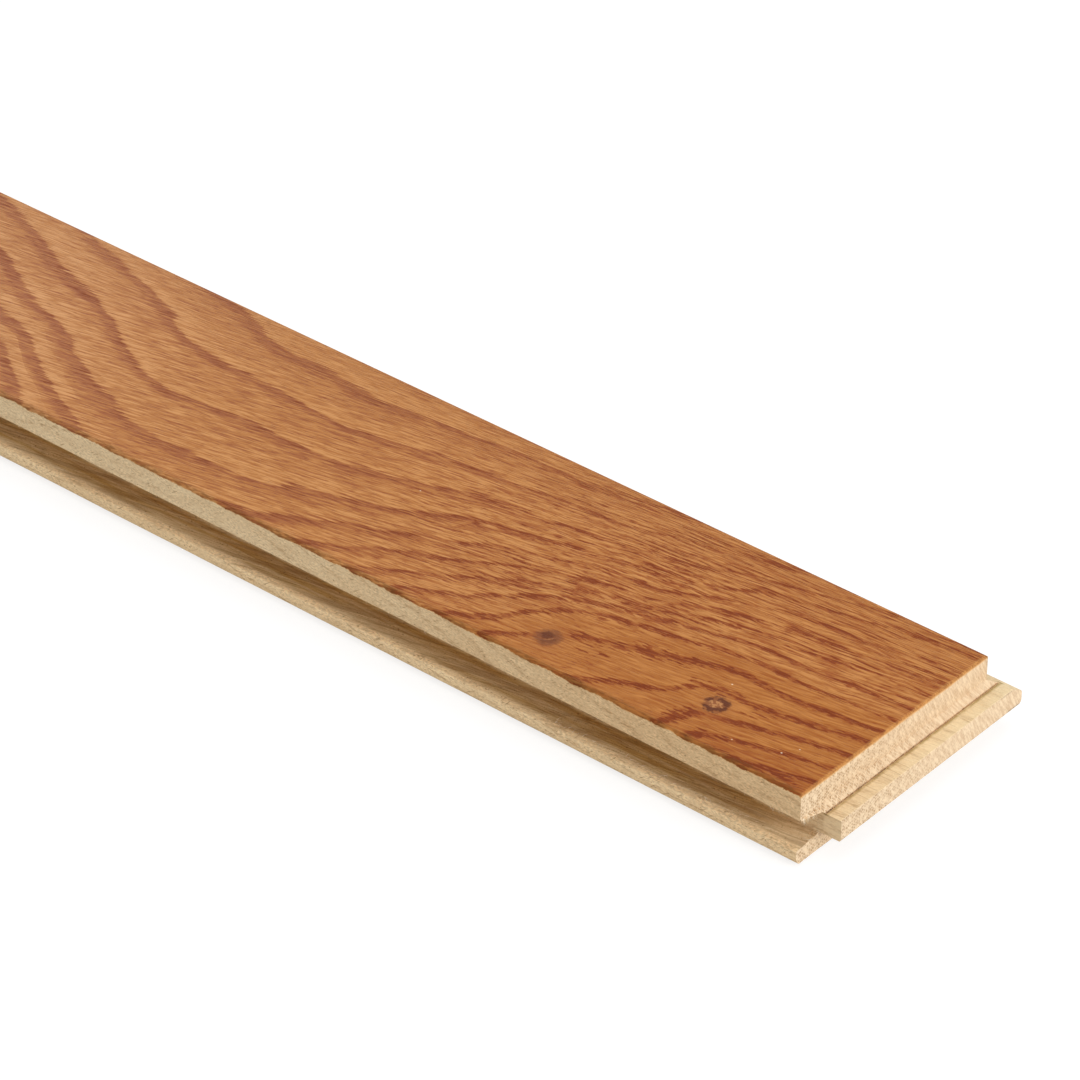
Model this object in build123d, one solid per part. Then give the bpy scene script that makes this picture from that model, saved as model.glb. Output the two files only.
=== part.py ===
from build123d import *
from math import radians, tan
import os

# A solid oak strip floorboard with a tongue and a groove on its sides and on its ends.
# The section across the board runs along its whole length, as it leaves the moulder, and
# the profiles of the two ends are then milled across it.
# +X runs along the board to the end with the tongue, +Y across it to the side with the
# tongue, +Z up. The origin is under the middle of the overall box. Sizes are in millimetres.

# Wearing face
face_length = 600.0
face_width = 70.0
side_arris_round = 0.9
end_arris_ease = 0.35

# Layers of the joint, from the face down
shoulder_height = 7.1
end_bevel_drop = 1.3
tongue_thickness = 5.9
joint_clearance = 0.2
groove_flare = 0.9
lower_lip = 4.6

# Tongues, measured outwards from the edge of the face
tongue_reach = 6.0
nail_bevel_angle = 30.0
nose_round = 1.4
end_bevel_run = 1.4
end_tongue_ease = 0.3
root_kerf_width = 0.55
root_kerf_depth = 0.6

# Grooves
groove_end_room = 1.4
groove_root_round = 1.0
upper_lip_ease = 0.5
lower_lip_reach = 1.2
lower_lip_round = 3.0
lower_lip_ease = 0.4

# Underside
back_setback = 0.3
back_ease = 0.6
relief_count = 4
relief_pitch = 13.0
relief_width = 7.0
relief_depth = 1.2
relief_flank_angle = 35.0

# How far the cuts run past the wood
overrun = 4.0

# Levels, as depths below the face
end_tongue_top = shoulder_height + end_bevel_drop
tongue_bottom = end_tongue_top + tongue_thickness
upper_lip_bottom = shoulder_height + joint_clearance
root_top = end_tongue_top - joint_clearance
root_bottom = tongue_bottom + joint_clearance
lower_lip_top = root_bottom + groove_flare
thickness = lower_lip_top + lower_lip

# Places across and along the board, from the groove edge of the face
groove_depth = tongue_reach + groove_end_room
nose_top = shoulder_height + tongue_reach * tan(radians(nail_bevel_angle))
back_edge = face_width - lower_lip_reach - back_setback
middle_x = (face_length + tongue_reach) / 2
middle_y = (face_width + tongue_reach - lower_lip_reach) / 2


def milled_profile(corners):
    """Closed face from anticlockwise corners: place, depth below the face, corner radius."""
    points = [(place, thickness - depth) for place, depth, _ in corners]
    radii = [radius for _, _, radius in corners]
    return make_face(FilletPolyline(*points, radius=radii, close=True))


def relief_channel(centre):
    """Section of one shallow channel in the underside, narrowing upwards."""
    flank = relief_depth / tan(radians(90 - relief_flank_angle))
    half = relief_width / 2
    return make_face(Polyline(
        (centre - half, 0), (centre + half, 0),
        (centre + half - flank, relief_depth), (centre - half + flank, relief_depth),
        close=True))


def section_across():
    """Section across the board: groove and lips at the left, nailing tongue at the right."""
    outline = milled_profile([
        (0, 0, side_arris_round),
        (0, upper_lip_bottom - upper_lip_ease, 0),
        (upper_lip_ease, upper_lip_bottom, 0),
        (groove_depth, root_top, groove_root_round),
        (groove_depth, root_bottom, groove_root_round),
        (-lower_lip_reach, lower_lip_top, lower_lip_ease),
        (-lower_lip_reach, thickness, lower_lip_round),
        (back_edge, thickness, back_ease),
        (back_edge, tongue_bottom, 0),
        (face_width + tongue_reach, tongue_bottom, nose_round),
        (face_width + tongue_reach, nose_top, nose_round),
        (face_width, shoulder_height, 0),
        (face_width, 0, side_arris_round),
    ])
    first = face_width / 2 - relief_pitch * (relief_count - 1) / 2
    for index in range(relief_count):
        outline -= relief_channel(first + index * relief_pitch)
    return outline


def groove_end_waste():
    """Wood milled away at the end with the groove, in a section along the board."""
    outside = -2 * overrun
    return milled_profile([
        (outside, -overrun, 0),
        (outside, thickness + overrun, 0),
        (back_setback + back_ease + overrun, thickness + overrun, 0),
        (back_setback, thickness - back_ease, 0),
        (back_setback, lower_lip_top, lower_lip_ease),
        (groove_depth, root_bottom, groove_root_round),
        (groove_depth, root_top, groove_root_round),
        (upper_lip_ease, upper_lip_bottom, 0),
        (0, upper_lip_bottom - upper_lip_ease, 0),
        (0, end_arris_ease, 0),
        (end_arris_ease + overrun, -overrun, 0),
    ])


def tongue_end_waste():
    """Wood milled away over, before and under the end tongue, in a section along the board."""
    end = face_length
    tip = end + tongue_reach
    outside = tip + 2 * overrun
    kerf = end + end_bevel_run
    return milled_profile([
        (end - end_arris_ease - overrun, -overrun, 0),
        (end, end_arris_ease, 0),
        (end, shoulder_height, 0),
        (kerf, end_tongue_top, 0),
        (kerf, end_tongue_top + root_kerf_depth, 0),
        (kerf + root_kerf_width, end_tongue_top, 0),
        (tip, end_tongue_top, end_tongue_ease),
        (tip, tongue_bottom, end_tongue_ease),
        (end, tongue_bottom, 0),
        (end, thickness - back_ease, 0),
        (end - back_ease - overrun, thickness + overrun, 0),
        (outside, thickness + overrun, 0),
        (outside, -overrun, 0),
    ])


def floorboard():
    """The whole board, in its own frame."""
    run_length = face_length + tongue_reach + 2 * overrun
    cut_width = lower_lip_reach + face_width + tongue_reach + 2 * overrun
    across = Plane((-middle_x - overrun, -middle_y, 0), x_dir=(0, 1, 0), z_dir=(1, 0, 0))
    along = Plane((-middle_x, cut_width / 2, 0), x_dir=(1, 0, 0), z_dir=(0, -1, 0))
    board = extrude(across * section_across(), run_length)
    for waste in (groove_end_waste(), tongue_end_waste()):
        board -= extrude(along * waste, cut_width)
    return board


os.makedirs("parts", exist_ok=True)
board = floorboard()
board.label = "floorboard"
export_step(board, "parts/floorboard.step")
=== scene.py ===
"""Solid oak strip floorboard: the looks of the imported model, laid out as a Blender add-on.

Places on the board are in millimetres in its drawing frame. X runs along the face and is 0
at the end with the tongue, Y runs across it from the groove edge, and D is the depth below
the face. Blender's own places are in metres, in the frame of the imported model.
"""

import math

import bmesh
import bpy
import numpy as np
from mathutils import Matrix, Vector


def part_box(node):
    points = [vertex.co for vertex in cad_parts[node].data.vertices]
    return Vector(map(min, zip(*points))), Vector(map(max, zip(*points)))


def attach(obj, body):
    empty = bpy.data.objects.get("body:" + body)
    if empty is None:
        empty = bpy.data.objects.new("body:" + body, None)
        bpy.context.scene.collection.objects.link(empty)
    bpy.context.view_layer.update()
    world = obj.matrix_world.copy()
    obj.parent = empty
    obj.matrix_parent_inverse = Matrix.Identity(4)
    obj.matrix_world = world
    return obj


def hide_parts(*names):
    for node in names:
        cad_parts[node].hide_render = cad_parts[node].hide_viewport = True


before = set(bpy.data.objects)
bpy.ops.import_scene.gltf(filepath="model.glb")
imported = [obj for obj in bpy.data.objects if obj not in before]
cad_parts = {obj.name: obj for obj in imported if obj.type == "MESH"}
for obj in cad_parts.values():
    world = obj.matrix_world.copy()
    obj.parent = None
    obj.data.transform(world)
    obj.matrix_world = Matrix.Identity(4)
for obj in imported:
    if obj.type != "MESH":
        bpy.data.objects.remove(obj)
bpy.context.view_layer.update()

bl_info = {
    "name": "Hardwood Floorboard",
    "version": (1, 0, 0),
    "blender": (4, 5, 0),
    "location": "3D View > Sidebar > Floorboard",
    "description": "Makes an oak strip floorboard with a stained face and raw milled edges",
    "category": "Add Mesh",
}

NODE = "floorboard"
BODY = "root"
MM = 0.001

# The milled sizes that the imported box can't tell, in millimetres
TONGUE_REACH = 6.0
LOWER_LIP_REACH = 1.2
UPPER_LIP_BOTTOM = 7.3
GROOVE_DEPTH = 7.4
LOWER_LIP_TOP = 15.4
ARRIS_DEPTH = 0.93

low_corner, high_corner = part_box(NODE)
NEAR_END = high_corner.x / MM - TONGUE_REACH
GROOVE_EDGE = low_corner.y / MM + LOWER_LIP_REACH
FACE_LEVEL = high_corner.z / MM
TO_DRAWING_SCALE = (1 / MM, 1 / MM, -1 / MM)
TO_DRAWING_SHIFT = (-NEAR_END, -GROOVE_EDGE, FACE_LEVEL)

# The growth rings on the face: each ring's number and the places (X, Y) that it passes.
# Off the face, and along the length that no picture shows, they only lead the rings on.
GROWTH_RINGS = {
    1: [(-33, 3), (-24, 7), (0, 13)],
    2: [(-41, 2), (-38, 8), (-28, 12), (0, 19)],
    3: [(-66, 2), (-59, 7), (-48, 12), (-42, 19), (-36, 20), (-26, 20), (0, 26)],
    4: [(-93, 3), (-82, 10), (-67, 18), (-59, 21), (-49, 25), (-37, 28), (-14, 29), (0, 31)],
    5: [(-104, 3), (-96, 8), (-93, 14), (-84, 22), (-67, 28), (-52, 31), (0, 36)],
    6: [(-119, 4), (-103, 14), (-93, 22), (-78, 29), (-70, 32), (-29, 39), (0, 42)],
    7: [(-133, 3), (-110, 17), (-90, 28), (-72, 34), (-20, 46), (0, 49), (-330, 28)],
    8: [(-269, 17), (-250, 4), (-200, -14), (-150, 3), (-119, 19), (-98, 30), (-72, 37), (0, 55)],
    9: [(-281, 28), (-261, 19), (-233, 4), (-200, -4), (-168, 4), (-133, 21), (-98, 36), (0, 61)],
    10: [(-302, 49), (-257, 28), (-204, 11), (-186, 12), (-160, 20), (-122, 36), (-75, 47), (0, 67)],
    11: [(-318, 67), (-268, 48), (-250, 38), (-197, 32), (-170, 32), (-114, 46), (-86, 53)],
    12: [(-289, 69), (-244, 53), (-226, 46), (-197, 46), (-139, 53), (-93, 58), (-61, 67)],
    13: [(-234, 68), (-194, 60), (-180, 59), (-122, 64), (-94, 69)],
    15: [(-330, 120), (-600, 120)],
    17: [(-180, 120), (0, 110)],
    4.5: [(-600, 30), (-430, 8)],
    8.5: [(-600, 64), (-430, 48)],
}
# Across the end the rings rise towards the tongue side, so a ring lies this much nearer to
# the groove for each millimetre of depth
RING_DIP = 2.0
# No growth ring is taken to be wider than this
WIDEST_RING = 20.0

# Length at each end where the milled ends change the section, in metres
END_ZONE = 24 * MM

# Knots in the face: centre (X, Y), radius, where the dark core lies from there, and whether
# the knot is broken open
KNOTS = ((-81.5, 9.2, 3.1, (-0.7, 0.7), 0.0), (-35.5, 14.2, 2.9, (0.0, 0.0), 1.0))

# Short lines and patches of open pores by the knots and at the corner of the face: centre
# (X, Y), length and width
PORE_LINES = (
    (-74.0, 15.8, 12.0, 0.8), (-74.5, 14.7, 9.0, 0.7), (-73.0, 13.0, 9.0, 0.7),
    (-71.0, 10.4, 6.0, 0.8), (-67.0, 12.2, 3.0, 1.2), (-66.0, 17.3, 7.0, 3.0),
    (-60.5, 19.8, 10.0, 4.0), (-54.0, 22.3, 10.0, 3.4), (-48.5, 24.6, 7.0, 2.0),
    (-43.0, 18.2, 8.0, 2.0), (-38.5, 20.0, 7.0, 0.9), (-33.5, 20.6, 6.0, 0.8),
    (-38.0, 17.8, 5.0, 0.6), (-28.5, 15.7, 6.0, 0.7), (-25.0, 17.4, 7.0, 0.6),
    (-23.0, 20.3, 7.0, 2.6), (-40.3, 4.6, 4.5, 6.0), (-38.0, 8.6, 4.5, 3.6),
    (-31.5, 3.4, 4.0, 3.4), (-18.0, 1.2, 14.0, 1.4), (-9.0, 2.4, 12.0, 2.0),
)

# Bright flecks in the lacquer: centre (X, Y), length and width
FLECKS = (
    (-37.6, 22.6, 0.5, 0.4), (-13.0, 9.5, 0.5, 0.4), (-10.6, 13.1, 0.4, 0.3),
    (-24.6, 6.2, 0.4, 0.3), (-144.6, 35.6, 0.5, 0.3),
)

# Where the stain ran together at the corner of the face: centre and half lengths (X, Y, D)
POOL_PLACE = (-7.0, 1.0, 0.0)
POOL_SIZE = (25.0, 10.0, 30.0)

# How much light the wood keeps, or gains, where it isn't plain stained or raw oak
# Painted sheen: the lighter, bluer haze on the far part of the lacquered face
FAR_SHEEN = (1.03, 1.06, 1.20, 1)
RED_STAIN = (1.06, 0.93, 0.76, 1)
# Painted shade: the darkening in the crease at the tongue's root
ROOT_CREASE_SHADE = (0.80, 0.84, 0.62, 1)
CLEAN_TONGUE = (1.05, 1.09, 1.11, 1)
BURNT_LINES = (0.72, 0.60, 0.46, 1)
# Painted shade: the warm darkening inside the groove, under the upper lip
GROOVE_SHADE = (0.75, 0.61, 0.36, 1)
OVER_GROOVE = (0.93, 0.85, 0.77, 1)
CLEAN_LIP = (1.12, 1.10, 1.07, 1)

# Edges where the cutters tore the wood: first and last place (X, Y, D), how many fibres stand
# there, their size, how far they stray, and the least and greatest turn about X, Y and Z
FIBRE_RUNS = (
    ((-598, 0.1, 7.2), (-1, 0.1, 7.2), 90, 0.8, (9, 0.1, 0.1), (0, 70, -40), (0, 115, 5)),
    ((-598, -0.8, 15.5), (-1, -0.8, 15.5), 150, 0.9, (9, 0.3, 0.1), (0, 60, 0), (0, 100, 25)),
    ((-16, 1.0, 7.35), (-0.6, 1.0, 7.35), 50, 1.0, (0.5, 0.7, 0.1), (0, 70, -80), (0, 160, 30)),
    ((-0.1, 0.3, 7.2), (-0.1, 8.0, 7.2), 70, 1.3, (0.2, 0.3, 0.15), (0, 75, -70), (0, 160, 40)),
    ((-1.0, 3.0, 15.0), (-1.0, 7.0, 14.6), 24, 1.2, (0.8, 0.5, 0.1), (-40, 30, -60), (40, 90, 60)),
    ((-75, 1.0, 15.2), (-6, 1.0, 15.2), 130, 1.0, (3, 0.7, 0.1), (-40, 30, -40), (40, 85, 60)),
)


def srgb(red, green, blue):
    """Scene colour of a screen colour given in 0 to 255."""
    shares = [level / 255 for level in (red, green, blue)]
    return tuple(s / 12.92 if s <= 0.04045 else ((s + 0.055) / 1.055) ** 2.4 for s in shares)


def length_setting(name, description, default, least):
    """Property that holds a length."""
    return bpy.props.FloatProperty(
        name=name, description=description, default=default, min=least, unit="LENGTH")


def colour_setting(name, description, default):
    """Property that holds a colour."""
    return bpy.props.FloatVectorProperty(
        name=name, description=description, default=default, min=0.0, max=1.0, subtype="COLOR")


class FLOORBOARD_PG_grain(bpy.types.PropertyGroup):
    """Sizes of the mesh and of the relief that is cut into it."""

    cell_length: length_setting(
        "Cell Length", "Length of the mesh's cells along the board", 2.7 * MM, least=0.5 * MM)
    end_cell_length: length_setting(
        "End Cell Length", "Length of the mesh's cells near the board's ends", 1.5 * MM, least=0.5 * MM)
    cell_width: length_setting(
        "Cell Width", "Width of the mesh's cells across the board", 1.0 * MM, least=0.5 * MM)
    cell_height: length_setting(
        "Cell Height", "Height of the mesh's cells on the edges", 0.8 * MM, least=0.4 * MM)
    ring_relief: length_setting(
        "Ring Relief", "How far the open bands lie below the face", 0.05 * MM, least=0.0)
    lip_wave: length_setting(
        "Lip Wave", "How far the sawn lip edges wander", 0.25 * MM, least=0.0)
    end_tear: length_setting(
        "End Tear", "Depth of the roughness on the sawn ends", 0.12 * MM, least=0.0)
    lip_edge: length_setting(
        "Lip Edge", "How far the eased edge under the upper lip is drawn out again", 0.42 * MM, least=0.0)
    fibre_length: length_setting(
        "Fibre Length", "Length of the longest torn fibres", 1.5 * MM, least=0.1 * MM)
    fibre_width: length_setting(
        "Fibre Width", "Width of a torn fibre at its root", 0.2 * MM, least=0.02 * MM)
    fibre_seed: bpy.props.IntProperty(
        name="Fibre Seed", description="Start of the fibres' random draws", default=11)


class FLOORBOARD_PG_finish(bpy.types.PropertyGroup):
    """Colours of the stain and of the raw wood."""

    stain_light: colour_setting("Stain Light", "Stained late wood", srgb(220, 160, 103))
    stain_middle: colour_setting("Stain Middle", "Stained wood between the bands", srgb(190, 127, 73))
    stain_band: colour_setting("Stain Band", "Stained open bands", srgb(166, 101, 64))
    stain_dash: colour_setting("Stain Dash", "Stain gathered in the open pores", srgb(138, 72, 38))
    stain_deep: colour_setting(
        "Stain Deep", "How much light the stain keeps where it soaked in most", (0.80, 0.65, 0.42))
    stain_gathered: colour_setting(
        "Stain Gathered", "Stain run together along the groove edge", srgb(112, 72, 32))
    stain_fringe: colour_setting(
        "Stain Fringe", "Thin stain where it fades out on the edges", srgb(226, 170, 102))
    raw_pale: colour_setting("Raw Pale", "Raw oak, palest fibres", srgb(240, 214, 172))
    raw_tan: colour_setting("Raw Tan", "Raw oak, darker fibres", srgb(222, 190, 146))
    raw_pore: colour_setting("Raw Pore", "Open pores in the raw oak", srgb(170, 132, 90))
    end_pale: colour_setting("End Pale", "Sawn ends, palest wood", srgb(240, 215, 180))
    end_tan: colour_setting("End Tan", "Sawn ends, rays", srgb(212, 180, 144))
    end_pore: colour_setting("End Pore", "Sawn ends, open pores", srgb(176, 138, 98))
    fibre_pale: colour_setting("Fibre Pale", "Torn fibres", srgb(250, 234, 206))
    knot_heart: colour_setting("Knot Heart", "Heart of a knot under the stain", srgb(140, 84, 52))
    knot_rim: colour_setting("Knot Rim", "Bark ring of a knot under the stain", srgb(92, 44, 26))


class FLOORBOARD_PG_stage(bpy.types.PropertyGroup):
    """Camera and light."""

    camera_place: bpy.props.FloatVectorProperty(
        name="Camera Place", description="Where the camera stands", subtype="TRANSLATION",
        unit="LENGTH", default=(0.80675, -0.72275, 0.67341))
    camera_turn: bpy.props.FloatVectorProperty(
        name="Camera Turn", description="How the camera is turned", subtype="EULER",
        unit="ROTATION", default=(math.radians(55.539), 0.0, math.radians(40.524)))
    lens: bpy.props.FloatProperty(
        name="Lens", description="Focal length in millimetres on a 36 mm sensor",
        default=161.42, min=20.0)
    key_power: bpy.props.FloatProperty(
        name="Key Power", description="Low softbox beyond the sawn end", default=10.5,
        min=0.0, unit="POWER")
    top_power: bpy.props.FloatProperty(
        name="Top Power", description="Softbox over the board", default=6.5, min=0.0, unit="POWER")
    fill: bpy.props.FloatProperty(
        name="Fill", description="Light from all round the room", default=0.6, min=0.0)


class Nodes:
    """Adds nodes to one tree and links them; most calls give the new node's output."""

    def __init__(self, tree):
        self.tree = tree

    def add(self, kind, inputs=None, **settings):
        """New node with its settings made and its inputs linked or set."""
        node = self.tree.nodes.new(kind)
        for name, value in settings.items():
            setattr(node, name, value)
        for key, value in (inputs or {}).items():
            self.feed(node.inputs[key], value)
        return node

    def feed(self, socket, value):
        """Links an output into a socket, or sets the socket's own value."""
        if isinstance(value, bpy.types.NodeSocket):
            self.tree.links.new(value, socket)
        else:
            socket.default_value = value

    def maths(self, operation, *values):
        return self.add("ShaderNodeMath", dict(enumerate(values)), operation=operation).outputs[0]

    def product(self, value, *factors):
        for factor in factors:
            value = self.maths("MULTIPLY", value, factor)
        return value

    def weigh(self, value, weight, base):
        """The value times its weight, on top of the base."""
        return self.maths("MULTIPLY_ADD", value, weight, base)

    def highest(self, first, second):
        return self.maths("MAXIMUM", first, second)

    def vector_maths(self, operation, *values):
        node = self.add("ShaderNodeVectorMath", dict(enumerate(values)), operation=operation)
        return node.outputs["Value" if operation == "LENGTH" else "Vector"]

    def split(self, vector):
        return self.add("ShaderNodeSeparateXYZ", {0: vector}).outputs

    def join(self, x, y, z):
        return self.add("ShaderNodeCombineXYZ", {0: x, 1: y, 2: z}).outputs[0]

    def ramp(self, value, start, end, low=0.0, high=1.0):
        """Smooth step from low to high as the value goes from start to end."""
        inputs = {"Value": value, "From Min": start, "From Max": end, "To Min": low, "To Max": high}
        node = self.add("ShaderNodeMapRange", inputs, interpolation_type="SMOOTHSTEP")
        return node.outputs["Result"]

    def curve(self, value, points):
        """Float curve through given points from 0 to 1."""
        node = self.add("ShaderNodeFloatCurve", {"Value": value})
        line = node.mapping.curves[0]
        line.points[0].location = points[0]
        line.points[1].location = points[-1]
        for place in points[1:-1]:
            line.points.new(*place)
        for point in line.points:
            point.handle_type = "AUTO_CLAMPED"
        node.mapping.update()
        return node.outputs[0]

    def noise(self, vector, sizes, detail=2.0, roughness=0.5):
        """Noise from 0 to 1 whose blots have these sizes along the vector's axes."""
        shrunk = self.vector_maths("DIVIDE", vector, sizes)
        inputs = {"Vector": shrunk, "Scale": 1.0, "Detail": detail, "Roughness": roughness}
        return self.add("ShaderNodeTexNoise", inputs).outputs[0]

    def mix_values(self, factor, first, second):
        node = self.add("ShaderNodeMix", {0: factor, 2: first, 3: second}, data_type="FLOAT")
        return node.outputs[0]

    def mix_colours(self, factor, first, second, blend="MIX"):
        node = self.add("ShaderNodeMix", data_type="RGBA", blend_type=blend)
        sockets = {socket.identifier: socket for socket in node.inputs}
        self.feed(sockets["Factor_Float"], factor)
        self.feed(sockets["A_Color"], first)
        self.feed(sockets["B_Color"], second)
        return next(out for out in node.outputs if out.identifier == "Result_Color")

    def tint(self, factor, colour, light):
        """Multiplies a colour by the light it keeps, as far as the factor says."""
        return self.mix_colours(factor, colour, light, "MULTIPLY")

    def group(self, tree, inputs):
        kind = tree.bl_idname.replace("NodeTree", "NodeGroup")
        node = self.tree.nodes.new(kind)
        node.node_tree = tree
        for key, value in inputs.items():
            self.feed(node.inputs[key], value)
        return node.outputs


SOCKETS = {
    "value": "NodeSocketFloat",
    "vector": "NodeSocketVector",
    "colour": "NodeSocketColor",
    "count": "NodeSocketInt",
    "geometry": "NodeSocketGeometry",
    "material": "NodeSocketMaterial",
}


def new_group(name, kind, inputs, outputs):
    """Empty node group with named sockets; gives the tree, its inputs and its output node."""
    tree = bpy.data.node_groups.new(name, kind)
    for label, socket in inputs.items():
        tree.interface.new_socket(label, in_out="INPUT", socket_type=SOCKETS[socket])
    for label, socket in outputs.items():
        tree.interface.new_socket(label, in_out="OUTPUT", socket_type=SOCKETS[socket])
    nodes = Nodes(tree)
    taken = nodes.add("NodeGroupInput").outputs
    given = nodes.add("NodeGroupOutput").inputs
    return nodes, taken, given


# Marks along the grain: their sizes, detail and roughness, and where they start and are full
FIBRES = {
    "Streak": ((12.0, 0.9, 0.9), 1.5, 0.75, 0.28, 0.72),
    "Fine": ((7.0, 0.5, 0.5), 1.0, 0.6, 0.3, 0.7),
    "Pores": ((2.6, 0.38, 0.38), 1.0, 0.5, 0.56, 0.68),
    "Dashes": ((3.0, 0.6, 0.6), 2.0, 0.55, 0.32, 0.68),
    "Lines": ((30.0, 1.2, 1.2), 1.5, 0.6, 0.48, 0.62),
}


def oak_fibres_group():
    """Fibres, pores and long lines, drawn out along the grain, which climbs across the face."""
    nodes, taken, given = new_group(
        "Oak fibres", "ShaderNodeTree", {"Place": "vector"}, {name: "value" for name in FIBRES})
    x, y, depth = nodes.split(taken["Place"])
    past_bend = nodes.highest(nodes.maths("ADD", x, 90.0), 0.0)
    eased = nodes.product(past_bend, -0.06)
    run = nodes.weigh(x, 0.2, eased)
    past_side = nodes.highest(nodes.maths("SUBTRACT", y, 45.0), 0.0)
    levelled = nodes.maths("DIVIDE", nodes.maths("POWER", past_side, 2.0), 40.0)
    wavy = nodes.noise(taken["Place"], (12.0, 4.5, 6.0), 1.0)
    across = nodes.maths("SUBTRACT", nodes.maths("ADD", y, levelled), run)
    across = nodes.weigh(wavy, nodes.ramp(x, -190.0, -90.0, 0.8, 1.6), across)
    grain = nodes.join(x, across, depth)
    for name, (sizes, detail, roughness, start, end) in FIBRES.items():
        blots = nodes.noise(grain, sizes, detail, roughness)
        nodes.feed(given[name], nodes.ramp(blots, start, end))
    return nodes.tree


def growth_rings_group():
    """Shade of the growth rings, from the bright start of a ring to its dark open band."""
    nodes, taken, given = new_group(
        "Growth rings", "ShaderNodeTree",
        {"Ring": "value", "Gap": "value", "Place": "vector", "Streak": "value",
         "Dashes": "value", "Lines": "value"},
        {"Shade": "value", "Line": "value", "Dash": "value", "Calm": "value"})
    place, ring = taken["Place"], taken["Ring"]
    x = nodes.split(place)[0]
    near = nodes.ramp(x, -175.0, -85.0)
    calm = nodes.ramp(ring, 5.6, 4.2)
    uneven = nodes.weigh(nodes.noise(place, (34.0, 8.0, 9.0), 1.0), 0.5, -0.25)
    amount = nodes.mix_values(nodes.ramp(x, -90.0, -40.0), nodes.ramp(ring, 5.0, 8.0, 0.15, 1.0),
                              nodes.ramp(ring, 5.0, 8.0, 0.15, 2.2))
    amount = nodes.maths("ADD", amount, nodes.ramp(x, -330.0, -430.0, 0.0, 1.2))
    wandering = nodes.weigh(uneven, amount, ring)
    past = nodes.maths("SUBTRACT", nodes.maths("FRACT", nodes.maths("ADD", wandering, 0.5)), 0.5)
    blend = nodes.mix_values(0.4, taken["Streak"], taken["Dashes"])
    feather = nodes.mix_values(near, 1.6, 1.0)
    frayed = nodes.product(nodes.maths("SUBTRACT", blend, 0.5), feather)
    frayed = nodes.weigh(past, taken["Gap"], frayed)
    broad = nodes.curve(nodes.weigh(frayed, 1 / 16, 0.5), [
        (0, 0.3), (0.18, 0.34), (0.28, 0.5), (0.35, 0.9), (0.4, 1), (0.48, 1), (0.51, 0.6),
        (0.55, 0.08), (0.6, 0), (0.75, 0.14), (1, 0.3)])
    arcs = nodes.product(
        nodes.ramp(ring, 4.4, 4.8), nodes.ramp(ring, 7.2, 6.4), nodes.ramp(x, -50.0, -70.0))
    bold = nodes.highest(arcs, nodes.ramp(ring, 4.6, 4.0, 0.0, 0.8))
    slim = nodes.product(frayed, nodes.ramp(bold, 0.0, 1.0, 1 / 6, 1 / 9))
    thin = nodes.curve(nodes.maths("ADD", slim, 0.5), [
        (0, 0), (0.22, 0.06), (0.34, 0.6), (0.42, 1), (0.5, 1), (0.56, 0.5), (0.64, 0), (1, 0)])
    strength = nodes.ramp(nodes.noise(place, (20.0, 4.0, 5.0), 1.0), 0.36, 0.6, 0.3, 1.0)
    clear = nodes.product(calm, nodes.ramp(x, -70.0, -40.0, 0.0, 0.75))
    clear = nodes.highest(clear, nodes.ramp(ring, 7.6, 6.2, 0.0, 0.7))
    line = nodes.product(thin, nodes.highest(strength, clear))
    patchy = nodes.ramp(nodes.noise(place, (30.0, 9.0, 9.0), 1.0), 0.4, 0.6, 0.5, 0.84)
    open_wood = nodes.product(
        patchy, nodes.ramp(ring, 5.5, 7.0), nodes.ramp(x, -150.0, -70.0, 0.4, 1.0))
    lines = nodes.highest(nodes.product(taken["Lines"], open_wood), line)
    dotted = nodes.ramp(x, -75.0, -40.0, 1.5, 0.9)
    dots = nodes.product(nodes.maths("SUBTRACT", taken["Dashes"], 0.5), dotted)
    dash = nodes.ramp(nodes.maths("ADD", lines, dots), 0.45, 0.9)
    nodes.feed(given["Shade"], nodes.mix_values(near, broad, nodes.product(lines, 0.7)))
    nodes.feed(given["Line"], line)
    nodes.feed(given["Dash"], nodes.product(dash, nodes.ramp(near, 0.0, 1.0, 0.15, 1.0)))
    nodes.feed(given["Calm"], calm)
    return nodes.tree


def oak_rings(nodes, groups, taken):
    """Fibres and growth rings at the place that a wood group was given."""
    fibres = nodes.group(groups["fibres"], {"Place": taken["Place"]})
    rings = nodes.group(groups["rings"], {
        "Ring": taken["Ring"], "Gap": taken["Gap"], "Place": taken["Place"],
        **{name: fibres[name] for name in ("Streak", "Dashes", "Lines")}})
    return fibres, rings


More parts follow.
